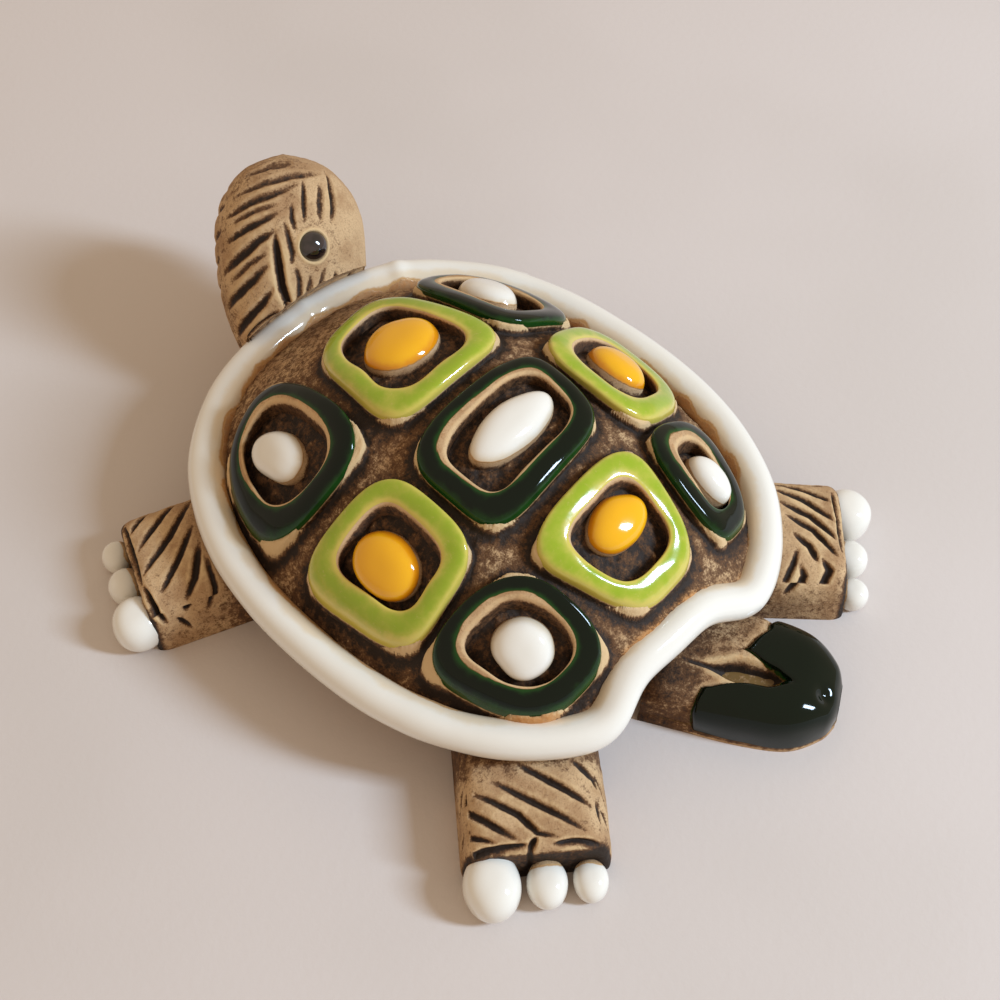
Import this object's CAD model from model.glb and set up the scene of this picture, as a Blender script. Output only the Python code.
import math

import bpy
import numpy as np
from mathutils import Matrix, Vector


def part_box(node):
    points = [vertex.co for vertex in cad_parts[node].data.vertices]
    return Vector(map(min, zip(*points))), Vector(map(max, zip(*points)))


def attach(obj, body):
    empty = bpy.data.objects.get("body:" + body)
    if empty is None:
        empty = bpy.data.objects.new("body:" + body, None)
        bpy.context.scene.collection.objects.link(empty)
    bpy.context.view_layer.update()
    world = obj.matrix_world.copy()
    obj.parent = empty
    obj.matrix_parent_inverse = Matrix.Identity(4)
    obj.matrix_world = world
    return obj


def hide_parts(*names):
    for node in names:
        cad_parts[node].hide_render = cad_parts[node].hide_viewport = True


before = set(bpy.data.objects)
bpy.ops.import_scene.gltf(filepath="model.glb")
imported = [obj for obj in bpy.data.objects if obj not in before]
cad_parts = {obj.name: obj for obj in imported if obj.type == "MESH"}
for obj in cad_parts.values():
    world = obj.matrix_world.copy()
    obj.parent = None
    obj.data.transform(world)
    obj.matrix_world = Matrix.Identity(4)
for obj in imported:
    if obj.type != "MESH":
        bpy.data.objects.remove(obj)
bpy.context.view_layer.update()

# Carapace
# The domed upper shell, a hollow of fired clay carved while leather-hard: nine pads parted by
# grooves, a sunk moat in each pad, and a rough band out to the white rim. Oxide stain sits in
# every hollow. All lengths are millimetres from the middle of the shell, with the floor at 0.
MM = 0.001
shell_half_length = 27.9
shell_half_width = 21.8
shell_corner = 2.34
crown_height = 14.2
crown_curve = 2.2
crown_base = 9.1
seam_height = 7.4
groove_depth = 1.0
moat_depth = 1.3
ring_seat = 0.7
ring_band = 2.1
pad_margin = -0.2
pad_square = 5.5
carapace_inset = 1.9
pad_proud = 0.12
pad_fall = 0.3
pad_fall_reach = 2.0
pad_wall = (-0.18, 0.16)
pad_wander = 0.22
pad_wander_size = 1.4
ring_seat_inset = 0.15
moat_wall = (0.5, 0.2)
edge_rise = 0.35
edge_rise_reach = (1.6, 0.2)
moat_rough = 0.30
skin_rough = 0.17
rough_size = 0.8
dome_columns = 271
dome_rows = 321
scute_corners = {
    "front_left": ((0.34, -0.74), (0.78, -0.66), (0.95, -0.24), (0.39, -0.13)),
    "front_middle": ((-0.23, -0.68), (0.25, -0.60), (0.36, -0.10), (-0.36, -0.10)),
    "front_right": ((-0.80, -0.62), (-0.35, -0.66), (-0.35, -0.135), (-0.83, -0.125)),
    "middle_left": ((0.45, -0.06), (0.94, -0.15), (0.88, 0.35), (0.45, 0.35)),
    "middle_middle": ((-0.35, -0.035), (0.41, -0.05), (0.40, 0.38), (-0.31, 0.335)),
    "middle_right": ((-0.92, -0.09), (-0.36, -0.05), (-0.39, 0.42), (-0.84, 0.35)),
    "rear_left": ((0.38, 0.44), (0.90, 0.34), (0.72, 0.78), (0.29, 0.82)),
    "rear_middle": ((-0.33, 0.40), (0.39, 0.43), (0.17, 0.80), (-0.24, 0.79)),
    "rear_right": ((-0.79, 0.43), (-0.36, 0.41), (-0.33, 0.81), (-0.64, 0.77)),
}
scute_square = {
    "front_left": 2.6,
    "front_middle": 3.8,
    "front_right": 3.2,
    "middle_left": 3.6,
    "middle_middle": 3.8,
    "middle_right": 3.0,
    "rear_left": 2.6,
    "rear_middle": 3.4,
    "rear_right": 3.0,
}
rim_half_length = 29.0
rim_half_width = 24.8
rim_front_rise = 1.3
rim_corner = 2.32
notch_depth = 3.2
notch_rise = 2.6
notch_half_width = 7.6
notch_side = 1.6

rim_low, rim_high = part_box("rim")
shell_middle = np.array([(rim_low.x + rim_high.x) / 2, rim_low.y + rim_half_length * MM, 0.0])
clay_chance = np.random.default_rng(11)
clay_lattice = clay_chance.random((48, 48, 48))


def tone(red, green, blue):
    """Linear colour of a tone written in the usual 0 to 255."""
    share = np.array([red, green, blue]) / 255
    linear = np.where(share < 0.04, share / 12.92, ((share + 0.055) / 1.055) ** 2.4)
    return (*linear.tolist(), 1.0)


def ease(value, low, high):
    """0 below low, 1 above high, and 3t^2 - 2t^3 in between."""
    part = np.clip((value - low) / (high - low), 0, 1)
    return part * part * (3 - 2 * part)


def lumps(points, size):
    """Soft swelling from -1 to 1: chance values at the corners of cells of this size, blended inside each."""
    place = points / size
    cell = np.floor(place).astype(int)
    part = place - cell
    part = part * part * (3 - 2 * part)
    total = np.zeros(points.shape[:-1])
    for corner in np.ndindex(2, 2, 2):
        weight = np.prod(np.where(corner, part, 1 - part), axis=-1)
        at = (cell + corner) % 48
        total += weight * clay_lattice[at[..., 0], at[..., 1], at[..., 2]]
    return 2 * total - 1


def crumbs(points, size):
    """Four layers of lumps, each half the size and six tenths of the height of the one before."""
    return sum(0.6**n * lumps(points + 7.3 * n, size / 2**n) for n in range(4)) / 2.2


def spread_out(field, steps, round_columns=False):
    """Mean of a field over a square of its neighbours, taken twice."""
    for axis in (0, 1, 0, 1):
        edges = [(0, 0), (0, 0)]
        edges[axis] = (steps, steps)
        around = np.pad(field, edges, mode="wrap" if axis and round_columns else "edge")
        field = np.lib.stride_tricks.sliding_window_view(around, 2 * steps + 1, axis=axis).mean(-1)
    return field


def dome_skin(x, y):
    """Height of the plain dome, base + crown (1 - r^n) over the rounded oblong r, and its slant length."""
    u, v = np.abs(x) / shell_half_width, np.abs(y) / shell_half_length
    r = np.maximum((u**shell_corner + v**shell_corner) ** (1 / shell_corner), 1e-6)
    steep = crown_height * crown_curve * r ** (crown_curve - shell_corner)
    slope_x = steep * u ** (shell_corner - 1) / shell_half_width
    slope_y = steep * v ** (shell_corner - 1) / shell_half_length
    height = crown_base + crown_height * (1 - r**crown_curve)
    return height, np.sqrt(1 + slope_x**2 + slope_y**2)


def rim_outline(across, along, inset):
    """The rim's rounded oblong in a direction, drawn in by the inset: it lifts with the square of the
    way to the front, and is pushed in and up over the tail."""
    reach = (np.abs(across) ** rim_corner + np.abs(along) ** rim_corner) ** (1 / rim_corner)
    x = across / reach * (rim_half_width - inset)
    y = along / reach * (rim_half_length - inset)
    notch = np.where(along > 0, np.exp(-(((x - notch_side) / notch_half_width) ** 4)), 0)
    front = rim_front_rise * np.clip(-y / rim_half_length, 0, 1) ** 2
    return x, y - notch_depth * notch, notch * notch_rise + front


def scute_frame(name):
    """The four vectors of a scute's spread a + bu + cv + duv, and its half width and half length."""
    corners = np.array(scute_corners[name]) * (shell_half_width, shell_half_length)
    signs = np.array([[1, 1, 1, 1], [-1, 1, 1, -1], [-1, -1, 1, 1], [1, -1, 1, -1]])
    middle, wide, long, skew = signs @ corners / 4
    return middle, wide, long, skew, np.linalg.norm(wide), np.linalg.norm(long)


def scute_inset(name, x, y, square):
    """How far plan points lie inside a scute's outline: its spread undone by Newton's steps, then the
    inset of the rounded square through each point found by halving."""
    middle, wide, long, skew, half_wide, half_long = scute_frame(name)
    u, v = np.zeros_like(x), np.zeros_like(y)
    for _ in range(6):
        miss_x = middle[0] + wide[0] * u + long[0] * v + skew[0] * u * v - x
        miss_y = middle[1] + wide[1] * u + long[1] * v + skew[1] * u * v - y
        a, b = wide[0] + skew[0] * v, long[0] + skew[0] * u
        c, d = wide[1] + skew[1] * v, long[1] + skew[1] * u
        turn = a * d - b * c
        u = np.clip(u - (d * miss_x - b * miss_y) / turn, -3, 3)
        v = np.clip(v - (a * miss_y - c * miss_x) / turn, -3, 3)
    low = np.full_like(x, -9.0)
    high = np.full_like(x, min(half_wide, half_long) - 0.01)
    for _ in range(18):
        guess = (low + high) / 2
        wide_part = np.abs(u) / (1 - guess / half_wide)
        long_part = np.abs(v) / (1 - guess / half_long)
        inside = wide_part**square + long_part**square < 1
        low, high = np.where(inside, guess, low), np.where(inside, high, guess)
    return low


def woven(rows, columns, ring=False):
    """Four-cornered faces of a grid, row by row; in a ring the last column meets the first."""
    reach = columns if ring else columns - 1
    here = np.arange(rows - 1)[:, None] * columns + np.arange(reach)
    beside = np.arange(rows - 1)[:, None] * columns + (np.arange(reach) + 1) % columns
    return np.stack([here, beside, beside + columns, here + columns], -1).reshape(-1, 4)


def drawn_shut(rows, columns):
    """Faces of a ring-shaped grid whose first and last rows are drawn together to two added points."""
    here = np.arange(columns)
    beside = (here + 1) % columns
    last = (rows - 1) * columns
    first_fan = np.stack([beside, here, np.full(columns, rows * columns)], -1)
    last_fan = np.stack([last + here, last + beside, np.full(columns, rows * columns + 1)], -1)
    return woven(rows, columns, True).tolist() + first_fan.tolist() + last_fan.tolist()


def with_ends(grid):
    """A grid's values in one run, followed by the means of its first and last rows."""
    return np.concatenate([grid.reshape(-1, *grid.shape[2:]), [grid[0].mean(0), grid[-1].mean(0)]])


def pushed(grid, amount):
    """A ring-shaped grid of points moved along its own normals by an amount in millimetres."""
    beside = np.roll(grid, -1, 1) - np.roll(grid, 1, 1)
    normal = np.cross(beside, np.gradient(grid, axis=0))
    normal /= np.maximum(np.linalg.norm(normal, axis=-1, keepdims=True), 1e-9)
    out = np.sign(((grid - grid.mean((0, 1))) * normal).sum())
    return grid + out * normal * amount[..., None]


def set_in(name, points, faces, finish, nodes, marks):
    """Puts a piece into the figure: faces turned outwards, shaded smooth, with marks for its finish."""
    corners = points[np.array([face[:3] for face in faces])]
    inward = np.einsum("ij,ij->", corners[:, 0], np.cross(corners[:, 1], corners[:, 2])) < 0
    if inward:
        faces = [face[::-1] for face in faces]
    mesh = bpy.data.meshes.new(name)
    mesh.from_pydata((points * MM + shell_middle).tolist(), [], faces)
    mesh.shade_smooth()
    for mark, values in marks.items():
        mesh.attributes.new(mark, "FLOAT", "POINT").data.foreach_set("value", values.astype(np.float32))
    mesh.materials.append(finish.material)
    piece = bpy.data.objects.new(name, mesh)
    bpy.context.scene.collection.objects.link(piece)
    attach(piece, "root")
    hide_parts(*nodes)


def set_in_shut(name, grid, finish, nodes, marks):
    """Puts in a piece whose skin is a ring-shaped grid drawn shut at both ends."""
    rows, columns = grid.shape[:2]
    marks = {mark: with_ends(np.broadcast_to(values, (rows, columns))) for mark, values in marks.items()}
    set_in(name, with_ends(grid), drawn_shut(rows, columns), finish, nodes, marks)


def set_in_hoop(name, grid, finish, nodes, marks):
    """Puts in a piece whose skin is a grid joined to itself both ways, as on a hoop."""
    rows, columns = grid.shape[:2]
    marks = {mark: np.broadcast_to(values, (rows, columns)).ravel() for mark, values in marks.items()}
    faces = (woven(rows + 1, columns, True) % (rows * columns)).tolist()
    set_in(name, grid.reshape(-1, 3), faces, finish, nodes, marks)


class Strand:
    """One output of a finish's node; sums and products of strands become Math nodes."""

    def __init__(self, finish, socket):
        self.finish = finish
        self.socket = socket

    def worked(self, operation, first, second):
        """A Math node of two values."""
        return self.finish.node("ShaderNodeMath", {"operation": operation}, {0: first, 1: second})

    def __add__(self, other):
        return self.worked("ADD", self, other)

    def __radd__(self, other):
        return self.worked("ADD", other, self)

    def __sub__(self, other):
        return self.worked("SUBTRACT", self, other)

    def __rsub__(self, other):
        return self.worked("SUBTRACT", other, self)

    def __mul__(self, other):
        return self.worked("MULTIPLY", self, other)

    def __rmul__(self, other):
        return self.worked("MULTIPLY", other, self)

    def eased(self, low, high):
        """0 below low, 1 above high, and a smooth step in between."""
        settings = {"interpolation_type": "SMOOTHSTEP"}
        inputs = {"Value": self, "From Min": low, "From Max": high}
        return self.finish.node("ShaderNodeMapRange", settings, inputs)


class Finish:
    """A procedural surface finish: clay, glaze or paper."""

    def __init__(self, name):
        self.material = bpy.data.materials.new(name)
        self.material.use_nodes = True
        self.tree = self.material.node_tree
        self.tree.nodes.clear()
        self.place = self.node("ShaderNodeTexCoord", output="Object")

    def node(self, kind, settings=None, inputs=None, output=0):
        """Adds a node: its settings first, then the values or strands of its sockets."""
        made = self.tree.nodes.new(kind)
        for name, value in (settings or {}).items():
            setattr(made, name, value)
        for name, value in (inputs or {}).items():
            if isinstance(value, Strand):
                self.tree.links.new(value.socket, made.inputs[name])
            else:
                made.inputs[name].default_value = value
        return Strand(self, made.outputs[output]) if made.outputs else None

    def mark(self, name):
        """A mark that the piece's own points carry."""
        return self.node("ShaderNodeAttribute", {"attribute_name": name}, output="Fac")

    def noise(self, size, detail, roughness):
        """Cloudy chance pattern whose lumps are this many millimetres across."""
        inputs = {"Vector": self.place, "Scale": 1 / (size * MM), "Detail": detail, "Roughness": roughness}
        return self.node("ShaderNodeTexNoise", inputs=inputs)

    def blend(self, amount, first, second):
        """Colour between the first and the second."""
        return self.node("ShaderNodeMix", {"data_type": "RGBA"}, {0: amount, 6: first, 7: second}, 2)

    def bumps(self, height, strength, depth):
        """Fine relief after a height pattern, this many millimetres deep."""
        inputs = {"Strength": strength, "Distance": depth * MM, "Height": height}
        return self.node("ShaderNodeBump", inputs=inputs)

    def fire(self, fixed, **varying):
        """Closes the finish: a principled surface with fixed values, and what changes over it."""
        surface = self.node("ShaderNodeBsdfPrincipled", inputs={**fixed, **varying})
        self.node("ShaderNodeOutputMaterial", inputs={"Surface": surface})
        return self


def clay_look(finish):
    """Colour, dark share and grain of stained bisque: tan clay, brown to black stain where the stain
    mark and hollows are, pale rubbed edges where the relief mark stands proud, orange where fumed."""
    grain = finish.noise(0.55, 5, 0.7)
    fine = finish.noise(0.16, 3, 0.7)
    cloud = finish.noise(3.5, 3, 0.55)
    relief = finish.mark("relief")
    dark = finish.mark("stain") - relief * 0.9 + (grain - 0.5) * 1.3 + (fine - 0.5) * 0.7
    colour = finish.blend(cloud.eased(0.35, 0.65), tone(206, 172, 130), tone(176, 139, 100))
    colour = finish.blend(fine.eased(0.45, 0.7) * 0.5, colour, tone(144, 108, 74))
    proud = (relief + (grain - 0.5) * 0.6).eased(0.1, 0.5)
    colour = finish.blend(proud, colour, tone(216, 184, 138))
    warm = (finish.mark("warm") + (grain - 0.5) * 0.8).eased(0.3, 0.8)
    colour = finish.blend(warm, colour, tone(196, 138, 82))
    colour = finish.blend(dark.eased(0.22, 0.62), colour, tone(104, 72, 46))
    colour = finish.blend(dark.eased(0.55, 1.0), colour, tone(40, 27, 18))
    return colour, dark, grain * 0.7 + fine * 0.5


def clay_finish(name):
    """Matte stained bisque all over."""
    finish = Finish(name)
    colour, dark, grain = clay_look(finish)
    normal = finish.bumps(grain, 0.8, 0.16)
    rough = 0.9 - dark.eased(0.5, 1.0) * 0.25
    fixed = {"Specular IOR Level": 0.35}
    return finish.fire(fixed, **{"Base Color": colour, "Roughness": rough, "Normal": normal})


bisque = clay_finish("bisque clay")

u, v = np.meshgrid(np.linspace(-1, 1, dome_columns), np.linspace(-1, 1, dome_rows))
share = np.maximum(np.maximum(np.abs(u), np.abs(v)), 1e-6)
plan_x, plan_y = rim_outline(u / share, np.where(v == 0, 1e-9, v) / share, carapace_inset)[:2]
plan_x, plan_y = plan_x * share, plan_y * share
flat = np.stack([plan_x, plan_y, np.zeros_like(plan_x)], -1)
wander = pad_wander * crumbs(flat, pad_wander_size)
carved = np.full_like(plan_x, -groove_depth)
outside = np.full_like(plan_x, 9.0)
moat = np.zeros_like(plan_x)
for name, square in scute_square.items():
    ring_inset = scute_inset(name, plan_x, plan_y, square)
    pad_inset = scute_inset(name, plan_x, plan_y, pad_square) + pad_margin + wander
    outside = np.minimum(outside, np.maximum(-ring_inset, 0))
    top = pad_proud - pad_fall * np.clip(-ring_inset, 0, pad_fall_reach)
    pad = ease(pad_inset, *pad_wall)
    carved = np.maximum(carved, -groove_depth + (top + groove_depth) * pad)
    carved = np.where(ring_inset > ring_seat_inset, -ring_seat, carved)
    inner = ease(ring_inset, ring_band - moat_wall[0], ring_band - moat_wall[1])
    moat = np.maximum(moat, inner)
    carved = carved + (-moat_depth - carved) * inner
rim_gap = (1 - share) * shell_half_width
carved += edge_rise * ease(rim_gap, *edge_rise_reach)
rough = np.where(moat > 0.5, moat_rough, skin_rough)
carved += rough * crumbs(flat, rough_size) * np.where(outside > 0.1, 1, moat)
plan_z, slant = dome_skin(plan_x, plan_y)
dome = np.stack([plan_x, plan_y, plan_z + carved * slant], -1)
relief = 1.7 * (carved - spread_out(carved, 4))
stain = 0.42 + 0.5 * np.exp(-outside / 0.9) * (carved < -0.2) - 0.08 * moat
stain -= 0.14 * ease(carved, -0.5, 0.0)
stain -= 0.12 * ease(rim_gap, 2.2, 0.4)
warm = 0.75 * ease(rim_gap, 2.0, 0.6)

last_row, last_column = dome_rows - 1, dome_columns - 1
edge = np.concatenate([
    np.arange(dome_columns),
    dome_columns * np.arange(1, dome_rows) + last_column,
    dome_columns * last_row + np.arange(last_column - 1, -1, -1),
    dome_columns * np.arange(last_row - 1, 0, -1),
])
dome_points = dome.reshape(-1, 3)
skirt = dome_points[edge] * (1, 1, 0) + (0, 0, seam_height)
count = len(dome_points)
beside = np.roll(np.arange(len(edge)), -1)
below = count + np.arange(len(edge))
skirt_faces = np.stack([edge, below, count + beside, edge[beside]], -1)
floor_faces = np.stack([count + beside, below, np.full(len(edge), count + len(edge))], -1)
points = np.vstack([dome_points, skirt, [[0, 0, seam_height]]])
faces = woven(dome_rows, dome_columns).tolist() + skirt_faces.tolist() + floor_faces.tolist()
plain = np.zeros(len(edge) + 1)
marks = {
    "relief": np.concatenate([relief.ravel(), plain]),
    "stain": np.concatenate([stain.ravel(), plain + 0.5]),
    "warm": np.concatenate([warm.ravel(), plain]),
}
set_in("carapace_clay", points, faces, bisque, ["carapace"], marks)

# Scute rings
# Nine raised frames, a coil pressed on each pad and flooded with coloured glaze that pools in the
# middle of the band and thins to tan clay at its outer edge and along the inner lip. Corners and
# middle are dark green, the four between them light green.
ring_steps = 260
section_steps = 44
ring_wander = 0.16
ring_wander_size = 3.5
ring_sag = 0.07
ring_sag_size = 2.2
lip_inset = 2.08
light_lip, dark_lip = 0.10, 0.42
light_thin, dark_thin = 0.26, 0.06
ring_section = np.array([
    (0.08, -0.98),
    (0.01, -0.60),
    (0.00, -0.20),
    (0.03, 0.22),
    (0.13, 0.50),
    (0.34, 0.68),
    (0.75, 0.77),
    (1.20, 0.77),
    (1.60, 0.71),
    (1.86, 0.64),
    (2.02, 0.50),
    (2.10, 0.24),
    (2.13, -0.12),
    (2.10, -0.60),
    (2.00, -1.35),
    (1.10, -1.30),
])


def smooth_loop(corners, count, closed=True):
    """Catmull-Rom curve through corners: each span blends its four nearest corners by cubic weights."""
    ends = np.arange(len(corners) if closed else len(corners) - 1)
    steps = np.linspace(0, len(ends), count, endpoint=not closed)
    span = np.minimum(steps.astype(int), len(ends) - 1)
    t = (steps - span)[:, None]
    near = [span - 1, span, span + 1, span + 2]
    near = [n % len(corners) if closed else np.clip(n, 0, len(corners) - 1) for n in near]
    a, b, c, d = (corners[n] for n in near)
    return 0.5 * (2 * b + (c - a) * t + (2 * a - 5 * b + 4 * c - d) * t**2 + (3 * b - a - 3 * c + d) * t**3)


def scute_plan(name, angle, inset, square):
    """Plan points of a scute's rounded square at an angle, drawn in by an inset, on the spread square."""
    middle, wide, long, skew, half_wide, half_long = scute_frame(name)
    reach = (np.abs(np.cos(angle)) ** square + np.abs(np.sin(angle)) ** square) ** (1 / square)
    u = np.cos(angle) / reach * (1 - inset / half_wide)
    v = np.sin(angle) / reach * (1 - inset / half_long)
    spread = [middle[i] + wide[i] * u + long[i] * v + skew[i] * u * v for i in (0, 1)]
    return spread[0], spread[1]


def glaze_finish(name, pool, thin, edge, gloss, fleck=0.0, sheen=0.5):
    """Glossy glaze: its pool colour, the thin colour over edges, the clay where it is bare."""
    finish = Finish(name)
    clay, _, grain = clay_look(finish)
    cloud = finish.noise(1.6, 3, 0.55)
    streak = finish.noise(0.45, 4, 0.6)
    bare = finish.mark("bare")
    shallow = (finish.mark("thin") + (cloud - 0.5) * 0.7).eased(0.25, 0.85)
    colour = finish.blend(shallow, pool, thin)
    colour = finish.blend((streak - 0.5).eased(0.08, 0.3) * fleck, colour, edge)
    lip = (bare + (streak - 0.5) * 0.35).eased(0.22, 0.45)
    colour = finish.blend(lip, colour, edge)
    clean = (bare + (streak - 0.5) * 0.45).eased(0.5, 0.62)
    colour = finish.blend(clean, colour, clay)
    rough = gloss + clean * (0.85 - gloss)
    height = grain * clean * 0.6 + cloud * 0.12
    normal = finish.bumps(height, 0.7, 0.16)
    fixed = {"IOR": 1.5, "Specular IOR Level": sheen}
    coat = 1 - clean
    look = {"Base Color": colour, "Roughness": rough, "Coat Weight": coat * sheen * 0.5, "Normal": normal}
    return finish.fire(fixed, **look)


green_pool, green_thin = tone(5, 18, 9), tone(26, 66, 22)
lime_pool, lime_thin = tone(150, 172, 36), tone(208, 192, 88)
dark_green = glaze_finish("dark green glaze", green_pool, green_thin, tone(120, 92, 52), 0.07, sheen=0.22)
light_green = glaze_finish("light green glaze", lime_pool, lime_thin, tone(212, 186, 112), 0.13, 0.4)
light_scutes = ("front_middle", "middle_left", "middle_right", "rear_middle")
angle = np.linspace(0, 2 * np.pi, ring_steps, endpoint=False)[:, None]
section = smooth_loop(ring_section, section_steps)
inset, rise = section[None, :, 0], section[None, :, 1]
for name, square in scute_square.items():
    light = name in light_scutes
    rim_x, rim_y = scute_plan(name, angle, 0.0, square)
    wobble = lumps(np.stack([rim_x, rim_y, 0 * rim_x], -1), ring_wander_size)
    sway = ring_wander * wobble * ease(inset, 1.0, 2.0)
    x, y = scute_plan(name, angle, np.maximum(inset + sway, 0.0), square)
    z, slant = dome_skin(x, y)
    ring_grid = np.stack([x, y, z + rise * slant], -1)
    top = ease(rise, 0.2, 0.5)
    ring_grid[..., 2] += ring_sag * top * (lumps(ring_grid, ring_sag_size) - 1)
    lip_width = (light_lip if light else dark_lip) * (1 - 0.6 * np.sin(angle) + 0.4 * wobble)
    lip = ease(inset + lip_width, lip_inset - 0.04, lip_inset + 0.08)
    outer = ease(-rise, 0.12, 0.42) * (inset < 1)
    fall = ease(-rise, -0.5, 0.05) * (inset > 1)
    thin = (light_thin if light else dark_thin) + 0.75 * np.exp(-inset / 0.35)
    marks = {
        "bare": np.maximum(lip, outer),
        "thin": thin + 0.9 * np.exp(-np.abs(lip_inset - lip_width - inset) / 0.3),
        "stain": 0.14 + 0.62 * fall + 0.75 * ease(-rise, 0.2, 0.6) * (inset < 1),
        "relief": 0.35 * top * ease(inset, 1.6, 1.9),
        "warm": 0.35,
    }
    finish = light_green if light else dark_green
    set_in_hoop("ring_" + name, ring_grid, finish, ["scute_ring_" + name], marks)

# Scute buttons
# A flattened pellet of clay in the middle of every moat, glazed white in dark green rings and
# yellow in light green ones. The glaze stops short on one side and shows tan clay.
button_rise = 1.0
button_square = 2.7
button_uneven = 0.05
slope_step = 0.05
button_places = {
    "front_left": (-0.05, 0.0, 0.42, 0.50),
    "front_middle": (-0.05, 0.05, 0.58, 0.45),
    "front_right": (0.02, -0.08, 0.50, 0.48),
    "middle_left": (-0.02, -0.05, 0.57, 0.55),
    "middle_middle": (-0.07, -0.06, 0.61, 0.41),
    "middle_right": (-0.02, -0.08, 0.48, 0.50),
    "rear_left": (-0.12, -0.06, 0.50, 0.48),
    "rear_middle": (-0.10, -0.26, 0.54, 0.43),
    "rear_right": (-0.02, 0.0, 0.44, 0.52),
}
white_glaze = glaze_finish("white glaze", tone(236, 231, 220), tone(232, 216, 190), tone(206, 162, 110), 0.1)
yellow_glaze = glaze_finish("yellow glaze", tone(244, 178, 22), tone(226, 142, 18), tone(206, 140, 60), 0.1)


def bead_angles(first, last, rows, columns):
    """Angles down from a bead's top, one to a row, and round it, one to a column."""
    round_it = np.linspace(0, 2 * np.pi, columns, endpoint=False)
    return np.linspace(first, last, rows)[:, None], round_it[None, :]


down, around = bead_angles(0.02, 0.62 * np.pi, 46, 120)
for name, (shift_u, shift_v, wide_share, long_share) in button_places.items():
    middle, wide, long, skew, half_wide, half_long = scute_frame(name)
    spot = middle + wide * shift_u + long * shift_v + skew * shift_u * shift_v
    height, slant = dome_skin(spot[0], spot[1])
    slope_x = (dome_skin(spot[0] + slope_step, spot[1])[0] - height) / slope_step
    slope_y = (dome_skin(spot[0], spot[1] + slope_step)[0] - height) / slope_step
    up = np.array([-slope_x, -slope_y, 1.0])
    up /= np.linalg.norm(up)
    sideways = np.array([1.0, 0.0, 0.0]) - up * up[0]
    sideways /= np.linalg.norm(sideways)
    lengthways = np.cross(up, sideways)
    dome_share = np.sin(down) ** (2 / button_square)
    chance_spot = np.stack([4 * np.cos(around), 4 * np.sin(around), spot[0] + 0 * around], -1)
    uneven = 1 + button_uneven * lumps(chance_spot, 2.6)
    across = half_wide * wide_share * dome_share * np.cos(around) * uneven
    lengths = half_long * long_share * dome_share * np.sin(around) * uneven
    upright = np.sign(np.cos(down)) * np.abs(np.cos(down)) ** (2 / button_square)
    rise = (moat_depth + button_rise) * upright + 0 * around
    centre = np.array([spot[0], spot[1], height - moat_depth * slant])
    pellet = centre + across[..., None] * sideways + lengths[..., None] * lengthways + rise[..., None] * up
    side_on = np.cos(around - math.radians(40)) * 0.5 + 0.5
    low = ease(-rise, -0.85 - 0.45 * side_on, -0.25 - 0.35 * side_on)
    marks = {
        "bare": low,
        "thin": 0.2 + 0.7 * ease(-rise, -1.9, -0.8),
        "stain": 0.75 * ease(-rise, -0.8, 0.0),
        "relief": 0.0,
        "warm": 0.3,
    }
    light = name in light_scutes
    finish = yellow_glaze if light else white_glaze
    set_in_shut("button_" + name, pellet, finish, ["scute_button_" + name], marks)

# Rim
# One thick roll of clay laid round the edge of the shell and flooded with white glaze, which thins
# to tan clay along its inner side and under the lift over the tail. Two drips stand up in front.
rim_width = 3.3
rim_thickness = 3.7
rim_height = 8.6
rim_steps = 560
belt_steps = 40
rim_inner_swell = 1.32
rim_uneven = 0.05
rim_drips = ((-0.62, 0.36), (-0.10, 0.26))
drip_reach = 0.9
turn = np.linspace(0, 2 * np.pi, rim_steps, endpoint=False)[:, None]
belt = np.linspace(0, 2 * np.pi, belt_steps, endpoint=False)[None, :]
line_x, line_y, line_lift = rim_outline(np.cos(turn), np.sin(turn), rim_width / 2)
ahead = np.stack([np.roll(line, -1, 0) - np.roll(line, 1, 0) for line in (line_x, line_y)], -1)
ahead /= np.linalg.norm(ahead, axis=-1, keepdims=True)
out_x, out_y = ahead[..., 1], -ahead[..., 0]
swell = 1 - rim_uneven * (1 + lumps(np.stack([line_x, line_y, 0 * line_x], -1), 4.0))
out = np.where(np.cos(belt) < 0, rim_inner_swell, 1.0) * np.cos(belt) * rim_width / 2 * swell
rise = np.sin(belt) * rim_thickness / 2 * swell
roll = np.stack([line_x + out * out_x, line_y + out * out_y, rim_height + line_lift + rise], -1)
for place_x, size in rim_drips:
    drip_x, drip_y = rim_outline(np.array(place_x), np.array(-1.0), rim_width / 2)[:2]
    distance = np.hypot(line_x - drip_x, line_y - drip_y)
    roll[..., 2] += size * np.exp(-((distance / drip_reach) ** 2)) * np.clip(np.sin(belt), 0, 1)
inner = ease(-np.cos(belt) + 0.2 * lumps(roll, 2.0), 0.6, 1.05)
over_tail = ease(line_lift, 0.6, 2.2) * (line_y > 0)
under = ease(-np.sin(belt) + 0.2 * lumps(roll, 1.5), 0.35, 0.75) * np.maximum(0.25, over_tail)
under_all = ease(-np.sin(belt), 0.75, 0.95)
marks = {
    "bare": np.maximum(np.maximum(inner * 0.75, under), under_all),
    "thin": ease(-np.cos(belt) + 0.2 * lumps(roll, 2.5), -0.1, 0.8) + 0.5 * under,
    "stain": 0.45 * under_all + 0.1,
    "relief": 0.0,
    "warm": 0.55,
}
set_in_hoop("rim_roll", roll, white_glaze, ["rim"], marks)

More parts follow.
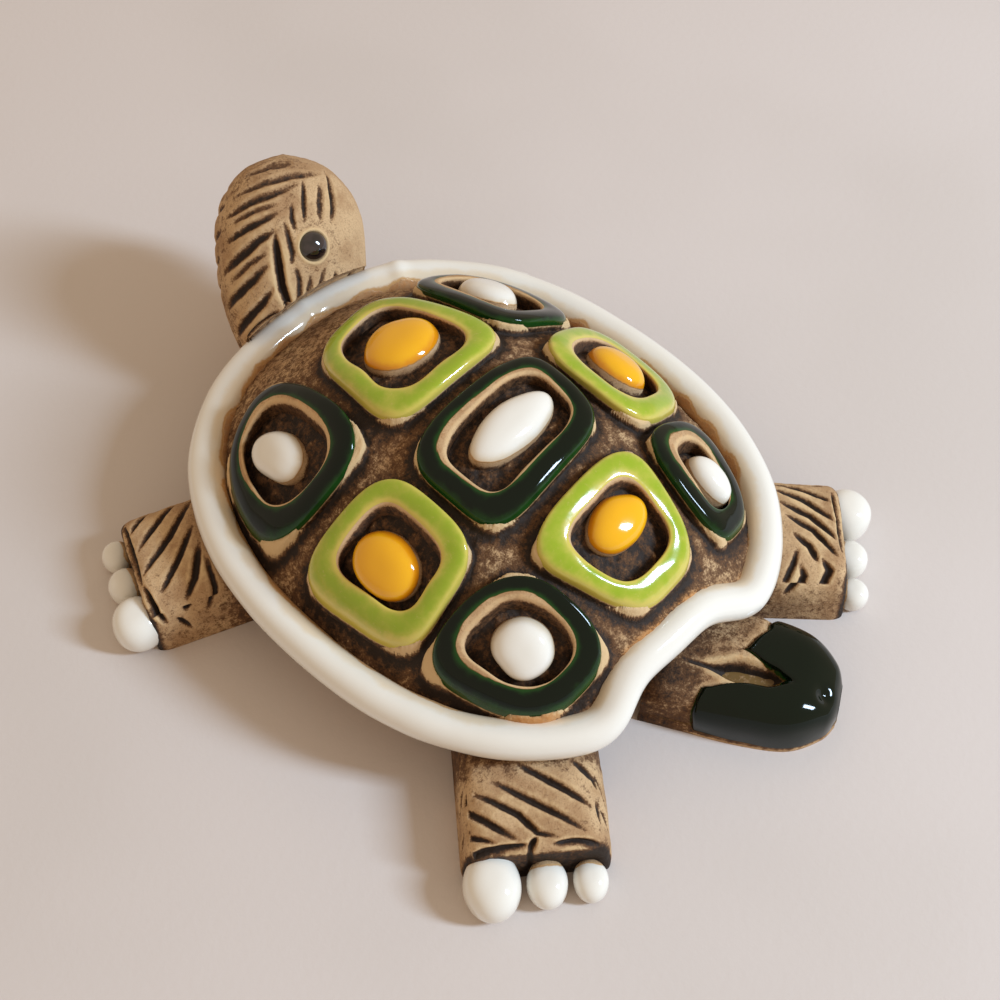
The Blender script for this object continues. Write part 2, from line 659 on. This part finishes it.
# Plastron
# The belly: a shallow clay bowl luted under the dome at the seam, scraped smooth, with the vent
# that lets steam out of the hollow in the kiln.
belly_clearance = 1.6
vent_radius = 1.5
vent_top = 5.0
vent_round = 0.15
vent_rows = 5
belly_base_rows = 26
belly_side_rows = 30
belly_columns = 320
belly_dent = 0.10
belly_scrape = 0.05
belly_profile = np.array([(0.0, 0.74), (0.10, 0.85), (0.32, 0.94), (0.65, 0.985), (1.0, 1.0)])
belly_inset = 2.2
sweep = np.linspace(0, 2 * np.pi, belly_columns, endpoint=False)[None, :]
edge_x, edge_y = rim_outline(np.cos(sweep), np.sin(sweep), belly_inset)[:2]
side = smooth_loop(belly_profile, belly_side_rows, closed=False)
base_share = np.linspace(0.0, 1.0, belly_base_rows)[:, None] ** 0.9
vent_x, vent_y = vent_radius * np.cos(sweep), vent_radius * np.sin(sweep)
base_x = vent_x + (edge_x * side[0, 1] - vent_x) * base_share
base_y = vent_y + (edge_y * side[0, 1] - vent_y) * base_share
base = np.stack([base_x, base_y, belly_clearance + 0 * base_x], -1)
wall_height = belly_clearance + side[1:, :1] * (seam_height - belly_clearance)
wall = np.stack([edge_x * side[1:, 1:], edge_y * side[1:, 1:], wall_height + 0 * edge_x], -1)
vent_z = np.linspace(vent_top, belly_clearance + vent_round, vent_rows)[:, None]
hole = np.stack(np.broadcast_arrays(vent_x, vent_y, vent_z), -1)
bowl = np.concatenate([hole, base, wall])
away = np.hypot(bowl[..., 0], bowl[..., 1])
scrape = lumps(bowl * (0.35, 1.6, 1.0), 1.5)
dent = -belly_dent * (1 + crumbs(bowl, 3.0)) - belly_scrape * (1 + scrape)
flat_rows = np.arange(len(bowl) - vent_rows) < belly_base_rows + 2
bowl[vent_rows:, :, 2] -= dent[vent_rows:] * flat_rows[:, None]
wall_start = vent_rows + belly_base_rows - 1
bowl[wall_start:-3] = pushed(bowl, dent)[wall_start:-3]
marks = {
    "relief": 3 * (dent - spread_out(dent, 3, True)),
    "stain": 0.25 + 0.5 * ease(bowl[..., 2], 4.0, 7.0) + 0.6 * ease(-away, -2.4, -1.5),
    "warm": 0.3,
}
set_in_shut("belly_bowl", bowl, bisque, ["plastron"], marks)

# Head
# Head and neck are one thumb of clay, pressed against the front of the rim and turned to look over
# its right shoulder. The cheek is pressed flat round the eye, and tool strokes scratch the skin.
head_radius = 7.75
head_half_length = 9.3
head_rows = 262
head_columns = 360
head_skin = 0.992
head_grain = 0.07
head_swell = 0.12
cheek_flats = ((98.0, 26.0, 0.05), (-42.0, 24.0, 0.03))
head_middle = np.array([-5.2, -31.9, 14.6])
neck_seat_inset = 0.8
neck_seat_height = 11.4
neck_press = np.array([0.53, 0.70])
neck_axis = np.array([-0.457, -0.5, 0.735])
neck_axis /= np.linalg.norm(neck_axis)
brow = np.array([-1.0, 0.0, 0.0]) - neck_axis * -neck_axis[0]
brow /= np.linalg.norm(brow)
cheek = np.cross(brow, neck_axis)
head_profile = np.array([
    (-1.55, 0.0), (-1.45, 0.42), (-1.20, 0.72), (-0.70, 0.94), (-0.20, 1.0), (0.25, 0.97), (0.62, 0.80),
    (0.87, 0.50), (1.0, 0.0),
])
eye_radius = 1.45
eye_spots = ((101.0, 0.03), (-45.0, 0.03))
socket_lip_radius = 1.62
socket_lip_width = 0.2
socket_lip_height = 0.20
socket_depth = 0.5
socket_wall = (-1.6, -1.25)
stroke_wander = 0.09
stroke_wander_size = 0.9
# A stroke is softer than its tool: its half width and depth are these times the tool's
stroke_spread = 2.1
stroke_press = 1.2
# Strokes on the cheek, the crown and the back of the head: degrees round the neck and share along it,
# then the tool's half width and depth
head_strokes = (
    (((130, 0.16), (129, -0.11), (128, -0.37), (122, -0.68)), 0.34, 0.75),
    (((62, 0.79), (73, 0.60), (78, 0.41), (83, 0.27)), 0.26, 0.40),
    (((83, 0.67), (89, 0.49), (93, 0.28)), 0.30, 0.30),
    (((101, 0.70), (104, 0.50), (106, 0.31)), 0.22, 0.32),
    (((115, 0.48), (116, 0.34), (114, 0.20)), 0.20, 0.28),
    (((122, 0.29), (120, 0.17), (118, -0.02), (119, -0.14)), 0.22, 0.30),
    (((116, -0.18), (114, -0.33), (116, -0.62)), 0.22, 0.28),
    (((105, -0.29), (107, -0.47), (108, -0.66)), 0.26, 0.28),
    (((94, -0.24), (97, -0.43), (98, -0.62)), 0.24, 0.25),
    (((83, -0.24), (83, -0.44)), 0.20, 0.18),
    (((105, 0.90), (140, 0.88), (170, 0.80)), 0.26, 0.26),
    (((76, 0.78), (111, 0.77), (140, 0.71), (168, 0.60)), 0.26, 0.30),
    (((113, 0.66), (134, 0.58), (151, 0.52), (176, 0.36)), 0.30, 0.34),
    (((128, 0.48), (146, 0.43), (170, 0.30)), 0.22, 0.22),
    (((128, 0.39), (140, 0.32), (153, 0.25), (174, 0.10)), 0.28, 0.36),
    (((131, 0.21), (143, 0.12), (155, 0.00), (180, -0.22)), 0.36, 0.45),
    (((138, -0.02), (152, -0.12), (172, -0.32)), 0.24, 0.22),
    (((138, -0.15), (150, -0.29), (166, -0.44), (188, -0.62)), 0.34, 0.42),
    (((135, -0.39), (145, -0.55), (162, -0.72), (185, -0.92)), 0.32, 0.42),
    (((134, -0.64), (149, -0.80), (166, -0.98)), 0.32, 0.40),
    (((190, 0.72), (215, 0.60), (240, 0.44)), 0.30, 0.34),
    (((186, 0.48), (212, 0.36), (240, 0.16)), 0.32, 0.36),
    (((184, 0.22), (208, 0.08), (236, -0.14)), 0.30, 0.36),
    (((190, -0.06), (214, -0.22), (238, -0.42)), 0.32, 0.38),
    (((196, -0.36), (218, -0.52), (240, -0.72)), 0.32, 0.36),
    (((-88, 0.60), (-70, 0.48), (-56, 0.30)), 0.28, 0.32),
    (((-88, 0.28), (-76, 0.14), (-66, -0.06)), 0.28, 0.32),
    (((-86, -0.04), (-72, -0.22), (-62, -0.44)), 0.30, 0.36),
    (((-80, -0.36), (-64, -0.54), (-50, -0.78)), 0.30, 0.34),
    (((-40, 0.66), (-38, 0.46), (-34, 0.26)), 0.24, 0.30),
    (((-22, 0.76), (-22, 0.54), (-20, 0.32)), 0.24, 0.30),
    (((-30, -0.22), (-30, -0.44), (-32, -0.70)), 0.24, 0.30),
    (((-12, -0.30), (-10, -0.52), (-10, -0.80)), 0.24, 0.28),
    (((12, -0.46), (14, -0.66), (14, -0.90)), 0.24, 0.26),
    (((40, -0.50), (42, -0.72), (44, -0.95)), 0.24, 0.26),
    (((6, 0.82), (10, 0.62), (12, 0.44)), 0.22, 0.24),
)


def stroke_cut(down_way, cross_way, strokes, ragged):
    """Depth of a set of tool strokes over a chart: each is a round-bottomed cut about a bent line,
    depth times (1 - (distance / half width)^2)^2, fading out towards its two ends."""
    cut = np.zeros_like(down_way)
    for line, half_width, depth in strokes:
        line = np.array(line, float)
        spans = np.diff(line, axis=0)
        lengths = np.hypot(spans[:, 0], spans[:, 1])
        starts = np.concatenate([[0], np.cumsum(lengths)])
        nearest = np.full_like(down_way, 99.0)
        run = np.zeros_like(down_way)
        for start, span, length, before in zip(line, spans, lengths, starts):
            off_down, off_cross = down_way - start[0], cross_way - start[1]
            part = np.clip((off_down * span[0] + off_cross * span[1]) / length**2, 0, 1)
            away = np.hypot(off_down - part * span[0], off_cross - part * span[1])
            closer = away < nearest
            nearest = np.where(closer, away, nearest)
            run = np.where(closer, before + part * length, run)
        fade = np.sqrt(np.sin(np.pi * np.clip(run / starts[-1], 0.02, 0.98)))
        width = (half_width + ragged) * (0.45 + 0.55 * fade)
        cut = np.maximum(cut, depth * fade * np.clip(1 - (nearest / width) ** 2, 0, 1) ** 2)
    return cut


degrees = np.linspace(-90, 270, head_columns, endpoint=False)[None, :]
profile = smooth_loop(head_profile, head_rows, closed=False)[1:-1]
height_share, girth = profile[:, :1], np.maximum(profile[:, 1:], 0.004)
flat_cheek = np.ones_like(degrees)
for flat_degrees, flat_spread, flat_share in cheek_flats:
    flat_round = np.exp(-(((degrees - flat_degrees) / flat_spread) ** 2))
    flat_cheek = flat_cheek - flat_share * flat_round * ease(1 - np.abs(height_share), 0.1, 0.6)
spin = np.radians(degrees)
outward = np.cos(spin)[..., None] * brow + np.sin(spin)[..., None] * cheek
thumb = head_middle + (height_share * head_half_length + 0 * degrees)[..., None] * neck_axis
thumb = thumb + (girth * head_radius * flat_cheek)[..., None] * outward * head_skin
above = np.maximum(thumb[..., 2:] - neck_seat_height, 0)
foot = thumb[..., :2] - above * neck_press
seat = np.array([rim_half_width, rim_half_length]) - neck_seat_inset
reach = ((np.abs(foot) / seat) ** rim_corner).sum(-1, keepdims=True) ** (1 / rim_corner)
thumb[..., :2] += foot * np.maximum(1 / np.maximum(reach, 0.5) - 1, 0)
round_way = spin * head_radius + 0 * height_share
along_way = height_share * head_half_length + 0 * spin
to_chart = np.array([math.radians(1) * head_radius, head_half_length])
strokes = []
for line, half_width, depth in head_strokes:
    strokes.append((np.array(line) * to_chart, stroke_spread * half_width, stroke_press * depth))
ragged = stroke_wander * crumbs(thumb, stroke_wander_size)
cut = stroke_cut(round_way, along_way, strokes, ragged)
lip = np.zeros_like(cut)
socket = np.zeros_like(cut)
for eye_degrees, eye_share in eye_spots:
    spot = np.array([eye_degrees, eye_share]) * to_chart
    away = np.hypot(round_way - spot[0], along_way - spot[1])
    lip += socket_lip_height * np.exp(-(((away - socket_lip_radius) / socket_lip_width) ** 2))
    socket = np.maximum(socket, ease(-away, *socket_wall))
skin = lip - cut - socket_depth * socket
skin += head_grain * crumbs(thumb, 1.2) + head_swell * (lumps(thumb, 4.0) - 1)
thumb = pushed(thumb, skin)
relief = 2.4 * (skin - spread_out(skin, 4, True))
side_on = ease(np.cos(np.radians(degrees - 150)), -0.2, 0.8)
neck = ease(-height_share, 0.45, 0.95)
in_strokes = 0.72 * np.clip(cut, 0, 0.5) + 1.6 * np.clip(cut - 0.5, 0, 0.3)
marks = {
    "relief": relief * (1 - 0.5 * lip),
    "stain": 0.08 + in_strokes + 0.24 * side_on + 0.12 * neck,
    "warm": 0.08 + 0.22 * side_on + 0.15 * neck,
}
set_in_shut("head_thumb", thumb, bisque, ["head"], marks)

# Eyes
# Two black glass-like beads pressed into the cheeks and held by a thin lip of clay.
eye_depth = 0.95
eye_sink = 0.28


def bead_finish(name):
    """Black glaze, a little brown and cloudy, very glossy."""
    finish = Finish(name)
    cloud = finish.noise(0.8, 3, 0.5)
    colour = finish.blend(cloud.eased(0.4, 0.7), tone(16, 13, 15), tone(44, 34, 36))
    normal = finish.bumps(cloud, 0.2, 0.05)
    fixed = {"IOR": 1.52, "Coat Weight": 1.0, "Coat Roughness": 0.04}
    rough = 0.06 + cloud * 0.1
    return finish.fire(fixed, **{"Base Color": colour, "Roughness": rough, "Normal": normal})


black_glaze = bead_finish("black glaze")
down, around = bead_angles(0.02, 0.62 * np.pi, 46, 120)
for side_name, (eye_degrees, eye_share), cheek_flat in zip(("right", "left"), eye_spots, cheek_flats):
    spin = math.radians(eye_degrees)
    outward = math.cos(spin) * brow + math.sin(spin) * cheek
    seat_radius = head_radius * (1 - cheek_flat[2]) * head_skin - eye_sink
    spot = head_middle + outward * seat_radius + neck_axis * head_half_length * eye_share
    sideways = np.cross(neck_axis, outward)
    across = eye_radius * np.sin(down) * np.cos(around)
    upwards = eye_radius * np.sin(down) * np.sin(around)
    out = eye_depth * np.cos(down) + 0 * around
    bead = spot + across[..., None] * sideways + upwards[..., None] * neck_axis + out[..., None] * outward
    set_in_shut("eye_bead_" + side_name, bead, black_glaze, ["eye_" + side_name], {})

# Legs
# Four slabs of clay luted under the rim, flat underneath and rounded over the back, scored with a
# blunt tool. The end drops to a dark crease where the toes are pressed on.
leg_half_width = 6.8
leg_root_height = 6.7
leg_foot_height = 6.2
leg_length = 17.5
leg_shown_share = 0.74
leg_end_round = 1.5
leg_end_narrowing = 0.09
leg_skin_narrowing = 0.02
leg_grain = 0.10
leg_swell = 0.10
leg_skin_sink = 0.12
leg_places = {
    "front_left": ((1.13, -0.665), -24.0, 1.0),
    "front_right": ((-0.84, -0.70), 222.0, -1.0),
    "rear_left": ((0.89, 0.955), 48.5, -1.0),
    "rear_right": ((-0.88, 0.95), 131.5, 1.0),
}
leg_stroke_wander = 0.10
leg_stroke_spread = 1.35
# Strokes: millimetres from the foot's end back along the leg (negative) and towards the big toe, then
# the tool's half width and depth
leg_strokes = {
    "front_left": (
        (((-4.3, -7.0), (-2.5, -5.5), (-0.8, -3.4)), 0.32, 0.42),
        (((-6.3, -6.7), (-3.9, -4.0), (-1.2, -1.3)), 0.36, 0.50),
        (((-7.3, -5.2), (-4.4, -1.7), (-0.9, 1.5)), 0.40, 0.54),
        (((-6.7, -2.0), (-4.4, 1.2), (-2.1, 3.9)), 0.38, 0.56),
        (((-6.7, 0.4), (-5.3, 3.7), (-4.0, 5.3)), 0.44, 0.64),
        (((-4.3, 6.1), (-3.5, 7.5)), 0.40, 0.54),
        (((-0.5, 2.7), (-0.9, 6.0), (-1.5, 8.5)), 0.42, 0.90),
        (((-0.5, -4.9), (-0.4, -1.0), (-0.4, 2.2)), 0.36, 0.60),
        (((-6.9, 1.9), (-6.8, 5.2), (-5.6, 8.6)), 0.34, 0.44),
        (((-2.6, 8.2), (-3.6, 10.5)), 0.30, 0.36),
        (((-8.0, -7.5), (-5.6, -9.6)), 0.30, 0.36),
        (((-4.6, -8.0), (-2.4, -10.4)), 0.30, 0.36),
    ),
    "rear_left": (
        (((-7.7, -3.8), (-6.2, -5.6), (-5.0, -6.1)), 0.34, 0.46),
        (((-7.7, 0.9), (-5.5, -2.4), (-3.7, -4.9)), 0.40, 0.56),
        (((-6.4, 3.4), (-4.1, -0.3), (-1.5, -4.1)), 0.38, 0.52),
        (((-5.5, 5.0), (-3.3, 1.4), (-1.5, -0.1), (-1.0, -1.7)), 0.38, 0.56),
        (((-4.7, 6.5), (-3.2, 4.6), (-1.0, 1.7)), 0.40, 0.52),
        (((-2.5, 7.0), (-0.9, 3.6)), 0.30, 0.40),
        (((-6.1, 6.1), (-5.0, 7.6)), 0.40, 0.50),
        (((-4.1, -5.5), (-1.3, -6.3)), 0.34, 0.40),
        (((-1.1, 0.1), (0.0, 0.8)), 0.34, 0.66),
        (((-0.4, 6.2), (-0.4, 3.5), (-0.5, 0.8)), 0.34, 0.70),
        (((-0.4, -1.4), (-0.5, -3.0), (-0.4, -5.2)), 0.34, 0.70),
        (((-6.4, 7.8), (-4.2, 9.8)), 0.32, 0.42),
        (((-2.6, 8.4), (-1.2, 10.6)), 0.30, 0.36),
        (((-6.8, -6.8), (-4.0, -8.8)), 0.30, 0.42),
        (((-3.6, -7.0), (-1.6, -9.6)), 0.30, 0.36),
    ),
    "rear_right": (
        (((-7.0, 6.6), (-4.3, 6.2), (-2.2, 5.6)), 0.30, 0.38),
        (((-6.9, 5.6), (-4.3, 4.8), (-1.3, 3.2)), 0.34, 0.46),
        (((-6.7, 4.5), (-3.8, 3.1), (-1.1, 0.9)), 0.38, 0.52),
        (((-6.2, 2.8), (-3.4, 1.3), (-0.8, -1.3)), 0.38, 0.56),
        (((-5.7, 1.3), (-3.2, -0.3), (-1.2, -3.0)), 0.40, 0.56),
        (((-5.1, -0.9), (-3.8, -2.1), (-3.1, -3.8)), 0.40, 0.56),
        (((-2.6, -3.6), (-2.0, -4.6), (-3.1, -6.9)), 0.44, 0.64),
        (((-4.8, -4.2), (-4.4, -5.2), (-6.1, -8.6)), 0.42, 0.60),
        (((-5.0, -2.6), (-5.4, -4.1), (-6.6, -6.6)), 0.36, 0.50),
        (((-0.9, 4.5), (-0.5, 1.2), (-0.4, -2.3)), 0.36, 0.70),
        (((-6.6, 8.0), (-4.2, 10.2)), 0.30, 0.38),
        (((-3.4, 7.6), (-2.0, 9.8)), 0.30, 0.34),
    ),
    "front_right": (
        (((-7.0, 5.4), (-4.6, 4.0), (-2.4, 3.6)), 0.30, 0.40),
        (((-7.0, 3.0), (-4.4, 1.4), (-1.8, 0.8)), 0.32, 0.44),
        (((-6.8, 0.6), (-4.2, -1.0), (-1.6, -1.4)), 0.32, 0.46),
        (((-6.6, -1.8), (-4.0, -3.4), (-1.8, -4.0)), 0.32, 0.44),
        (((-6.4, -4.2), (-4.4, -5.8), (-2.6, -7.2)), 0.30, 0.42),
        (((-6.0, 7.2), (-3.8, 8.0), (-2.2, 10.0)), 0.30, 0.40),
        (((-8.0, -7.4), (-5.6, -9.8)), 0.30, 0.38),
    ),
}


def leg_frame(name):
    """Middle of a foot's end, the way its leg points, and the way to its biggest toe."""
    (end_x, end_y), heading, big_side = leg_places[name]
    along_way = np.array([math.cos(math.radians(heading)), math.sin(math.radians(heading))])
    side_way = np.array([-along_way[1], along_way[0]]) * big_side
    return np.array([end_x * rim_half_width, end_y * rim_half_length]), along_way, side_way


def blunted(stations, first, last, count):
    """Stations followed by shrinking copies of the last one, which close a limb's blunt end."""
    shrink = np.linspace(first, last, count)[:, None]
    return np.vstack([stations, stations[-1] * np.hstack([1 + 0 * shrink, shrink, shrink])])


def limb_grid(root, along_way, side_way, stations):
    """A limb's skin: at each station (distance, half width, height) the section |s|^4 + |z|^4 = 1 over
    a flat sole. Returns the points, their distance along the limb, their way round from the middle of
    the back, and how far up the section they are."""
    arc = np.linspace(0, np.pi, 190)
    reach = (np.cos(arc) ** 4 + np.sin(arc) ** 4) ** 0.25
    sole = np.linspace(-1, 1, 42)[1:-1]
    across = np.concatenate([np.cos(arc) / reach, sole])[None, :]
    upward = np.concatenate([np.sin(arc) / reach, 0 * sole])[None, :]
    distance, half_width, height = (stations[:, i : i + 1] for i in range(3))
    across_mm, up_mm = across * half_width, upward * height
    flat_place = root + distance[..., None] * along_way + across_mm[..., None] * side_way
    points = np.stack([flat_place[..., 0], flat_place[..., 1], up_mm], -1)
    round_mm = across_mm + np.sign(across_mm) * (height - up_mm) * (np.abs(across) > 0.86)
    return points, distance + 0 * across, round_mm, upward + 0 * distance


shown = np.linspace(leg_length * leg_shown_share, leg_end_round + 0.1, 90)
back = -np.concatenate([shown, np.linspace(leg_end_round, 0.0, 22)])
bend = 1 - np.sqrt(1 - 0.96 * np.clip((back + leg_end_round) / leg_end_round, 0, 1) ** 2)
height = leg_foot_height + (leg_root_height - leg_foot_height) * np.clip(-back / leg_length, 0, 1)
height = height - leg_end_round * bend
half_width = leg_half_width * (1 - leg_end_narrowing * bend - leg_skin_narrowing)
stations = blunted(np.stack([back, half_width, height], -1), 0.93, 0.1, 8)
for name in leg_places:
    end, along_way, side_way = leg_frame(name)
    skin, down_mm, round_mm, upward = limb_grid(end, along_way, side_way, stations)
    ragged = leg_stroke_wander * crumbs(skin, stroke_wander_size)
    strokes = [(line, leg_stroke_spread * half_width, depth) for line, half_width, depth in leg_strokes[name]]
    cut = stroke_cut(down_mm, round_mm, strokes, ragged)
    free = ease(upward, 0.1, 0.35)
    slack = (leg_grain * crumbs(skin, 1.0) + leg_swell * lumps(skin, 3.5) - leg_skin_sink - cut) * free
    skin = pushed(skin, slack)
    skin[..., 2] = np.maximum(skin[..., 2], 0.0)
    relief = 2.4 * (slack - spread_out(slack, 4, True))
    crease = ease(down_mm, -0.9, -0.15) * ease(skin[..., 2], 5.4, 4.6)
    root_shade = ease(-down_mm, 6.0, 9.5)
    marks = {
        "relief": relief,
        "stain": 0.24 + 0.95 * np.clip(cut, 0, 0.7) + 0.75 * crease + 0.35 * root_shade + 0.12 * (1 - upward),
        "warm": 0.15 + 0.2 * (1 - upward) + 0.3 * root_shade,
    }
    set_in_shut("leg_slab_" + name, skin, bisque, ["leg_" + name], marks)

# Toes
# Three beads of clay pressed on each foot and dipped in white glaze, tan where they meet the leg.
toe_radius = 2.6
toe_height = 4.6
toe_reach = 0.9
toe_sizes = {"big": (0.60, 1.0), "middle": (-0.10, 0.72), "small": (-0.66, 0.62)}
# The rear left foot's toes were pulled longer, by this share and this many millimetres forward
pulled_toes = {"rear_left": (1.2, 0.45)}
toe_sink = 0.06
toe_uneven = 0.07
ball_down, ball_round = bead_angles(0.03, np.pi - 0.03, 60, 96)
for name in leg_places:
    end, along_way, side_way = leg_frame(name)
    pull_share, pull_reach = pulled_toes.get(name, (1.0, 0.0))
    for toe, (across_share, size) in toe_sizes.items():
        centre = end + side_way * leg_half_width * across_share + along_way * toe_reach
        fore = toe_radius * size * np.sin(ball_down) ** 0.8 * np.cos(ball_round)
        side = toe_radius * size * np.sin(ball_down) ** 0.8 * np.sin(ball_round)
        upright = np.sign(np.cos(ball_down)) * np.abs(np.cos(ball_down)) ** 0.85
        high = toe_height * size * (0.45 + 0.55 * upright) + 0 * ball_round
        forward = pull_share * fore + pull_reach
        flat_place = centre + forward[..., None] * along_way + side[..., None] * side_way
        bead = np.stack([flat_place[..., 0], flat_place[..., 1], high], -1)
        bead = pushed(bead, toe_uneven * lumps(bead, 2.2) - toe_sink)
        bead[..., 2] = np.maximum(bead[..., 2], 0.0)
        behind = ease(-fore / (toe_radius * size) + 0.3 * lumps(bead, 1.6), 0.25, 0.7)
        sole = ease(-bead[..., 2], -0.35, -0.05)
        marks = {
            "bare": np.maximum(behind, sole),
            "thin": 0.15 + 0.6 * behind + 0.5 * ease(-bead[..., 2], -1.4, -0.4),
            "stain": 0.15 + 0.5 * ease(-fore / (toe_radius * size), 0.6, 1.0),
            "relief": 0.0,
            "warm": 0.35,
        }
        nodes = ["toe_" + name + "_" + toe]
        set_in_shut("toe_bead_" + name + "_" + toe, bead, white_glaze, nodes, marks)

# Tail
# A shovel of clay luted under the lifted rim, with a thumb groove pressed along its back, and dark
# green glaze over two lobes that run together at the tip. The root stays bare and speckled.
tail_half_width = 6.1
tail_length = 13.2
tail_height = 5.8
tail_root_side = 2.7
tail_root_inset = 2.3
tail_root = np.array([-tail_root_side, shell_half_length - tail_root_inset])
tail_way = np.array([-0.46, 0.89])
tail_way /= np.linalg.norm(tail_way)
tail_side = np.array([tail_way[1], -tail_way[0]])
tail_profile = np.array([
    (0.0, 1.0, 0.95),
    (0.35, 1.0, 1.0),
    (0.70, 0.90, 0.95),
    (0.92, 0.58, 0.72),
    (1.0, 0.30, 0.45),
])
tail_hidden_root = 4.5
groove_side = 1.5
groove_drift = 0.05
groove_end_half = 0.35
groove_widening = 1.15
groove_press = 1.7
far_glaze_start = 1.6
near_glaze_start = 0.1
glaze_fork = 7.0
glaze_fork_half = 2.3
dimple_press = 0.45
dimple_along = 11.6
dimple_side = 1.2
dimple_radius = 0.8
tail_grain = 0.12
tail_skin_sink = 0.35
clay_under_glaze = 0.3
glaze_sink = 1.1
glaze_cover = 1.0
glaze_groove = 0.9
glaze_swell = 0.10
glaze_edge_height = 0.12
start = np.array([(-tail_hidden_root, tail_half_width, tail_height * tail_profile[0, 2])])
stations = smooth_loop(tail_profile, 110, closed=False) * (tail_length, tail_half_width, tail_height)
stations = blunted(np.vstack([start, start * (0.5, 1, 1), stations]), 0.9, 0.05, 10)
core, along_mm, round_mm, upward = limb_grid(tail_root, tail_way, tail_side, stations)
groove_line = groove_side - groove_drift * along_mm
from_groove = np.abs(round_mm - groove_line)
groove_half = groove_end_half + groove_widening * ease(along_mm, 0.0, 3.5) * ease(-along_mm, -8.6, -6.0)
groove = ease(-from_groove, -groove_half, -groove_half * 0.25) * ease(-along_mm, -8.8, -6.5)
groove = groove * ease(along_mm, -1.0, 2.5)
far_start = far_glaze_start + 0.75 * np.clip(groove_line - round_mm, 0, 5)
glaze_start = np.where(round_mm < groove_line, far_start, near_glaze_start) + 0.5 * lumps(core, 1.8)
glaze_start += glaze_fork * np.clip(1 - from_groove / glaze_fork_half, 0, 1)
covered = ease(along_mm - glaze_start, -0.35, 0.55)
covered = covered * (1 - ease(groove, 0.25, 0.55) * ease(-along_mm, -8.0, -6.8))
covered = covered * ease(core[..., 2], 0.2, 0.5)
dimple_away = np.hypot(along_mm - dimple_along, round_mm - dimple_side) / dimple_radius
dimple = dimple_press * np.exp(-(dimple_away**2))
free = ease(upward, 0.05, 0.25)
clay_slack = tail_grain * crumbs(core, 1.0) * free - tail_skin_sink
clay_slack -= groove_press * groove + clay_under_glaze * covered
clay = pushed(core, clay_slack * free)
clay[..., 2] = np.maximum(clay[..., 2], 0.0)
marks = {
    "relief": 2.4 * (clay_slack - spread_out(clay_slack, 4, True)),
    "stain": 0.42 + 0.45 * groove + 0.4 * ease(-along_mm, -1.0, 1.0),
    "warm": 0.4,
}
set_in_shut("tail_core", clay, bisque, ["tail"], marks)
glaze_slack = (glaze_cover + glaze_swell * lumps(core, 3.0)) * covered
glaze_slack -= glaze_sink + glaze_groove * groove + dimple
glaze = pushed(core, glaze_slack)
glaze[..., 2] = np.maximum(glaze[..., 2], glaze_edge_height)
marks = {
    "bare": 0.5 * ease(-covered, -0.75, -0.35),
    "thin": 0.9 * ease(-covered, -0.95, -0.5),
    "stain": 0.2,
    "relief": 0.0,
    "warm": 0.3,
}
set_in_shut("tail_lobes", glaze, dark_green, ["tail_glaze"], marks)

# Table, light and camera
# A sheet of pale paper under the figure, a window-like lamp high up beyond its right rear foot, and
# soft warm light from all round.
table_half = 2.0
room_colour = (1.0, 0.80, 0.60, 1.0)
room_strength = 0.60
window_way = Vector((-0.41, 0.69, 0.60)).normalized()
window_distance = 0.50
window_width, window_height = 0.06, 0.16
window_watts = 2.5
window_colour = (0.62, 0.80, 1.0)
camera_place = Vector((0.055567, 0.058373, 0.129284))
camera_way = Vector((-0.40908, -0.38614, -0.82677))
camera_lens = 54.815
camera_shift = -0.01775


def paper_finish(name):
    """Pale, faintly mottled paper with a soft tooth."""
    finish = Finish(name)
    cloud = finish.noise(60, 3, 0.5)
    tooth = finish.noise(0.9, 4, 0.6)
    colour = finish.blend(cloud.eased(0.35, 0.65), tone(216, 206, 200), tone(210, 200, 193))
    normal = finish.bumps(tooth, 0.25, 0.1)
    fixed = {"Roughness": 0.9, "Specular IOR Level": 0.2}
    return finish.fire(fixed, **{"Base Color": colour, "Normal": normal})


table_mesh = bpy.data.meshes.new("paper_table")
reach = np.linspace(-table_half, table_half, 9)
table_x, table_y = np.meshgrid(reach, reach)
table_points = np.stack([table_x, table_y, 0 * table_x], -1).reshape(-1, 3)
table_mesh.from_pydata(table_points.tolist(), [], woven(9, 9).tolist())
table_mesh.materials.append(paper_finish("pale paper").material)
table = bpy.data.objects.new("paper_table", table_mesh)
bpy.context.scene.collection.objects.link(table)

world = bpy.data.worlds.new("soft room")
world.use_nodes = True
world.node_tree.nodes["Background"].inputs["Color"].default_value = room_colour
world.node_tree.nodes["Background"].inputs["Strength"].default_value = room_strength
bpy.context.scene.world = world

lamp = bpy.data.lights.new("window", "AREA")
lamp.shape = "RECTANGLE"
lamp.size, lamp.size_y = window_width, window_height
lamp.energy = window_watts
lamp.color = window_colour
window = bpy.data.objects.new("window", lamp)
window_turn = window_way.to_track_quat("Z", "Y").to_matrix().to_4x4()
window.matrix_world = Matrix.Translation(window_way * window_distance) @ window_turn
bpy.context.scene.collection.objects.link(window)

camera_data = bpy.data.cameras.new("camera")
camera_data.lens = camera_lens
camera_data.sensor_width = 36.0
camera_data.shift_y = camera_shift
camera_data.clip_start = 0.005
camera = bpy.data.objects.new("camera", camera_data)
camera_turn = camera_way.to_track_quat("-Z", "Y").to_matrix().to_4x4()
camera.matrix_world = Matrix.Translation(camera_place) @ camera_turn
bpy.context.scene.collection.objects.link(camera)
bpy.context.scene.camera = camera
bpy.context.scene.view_settings.view_transform = "Standard"
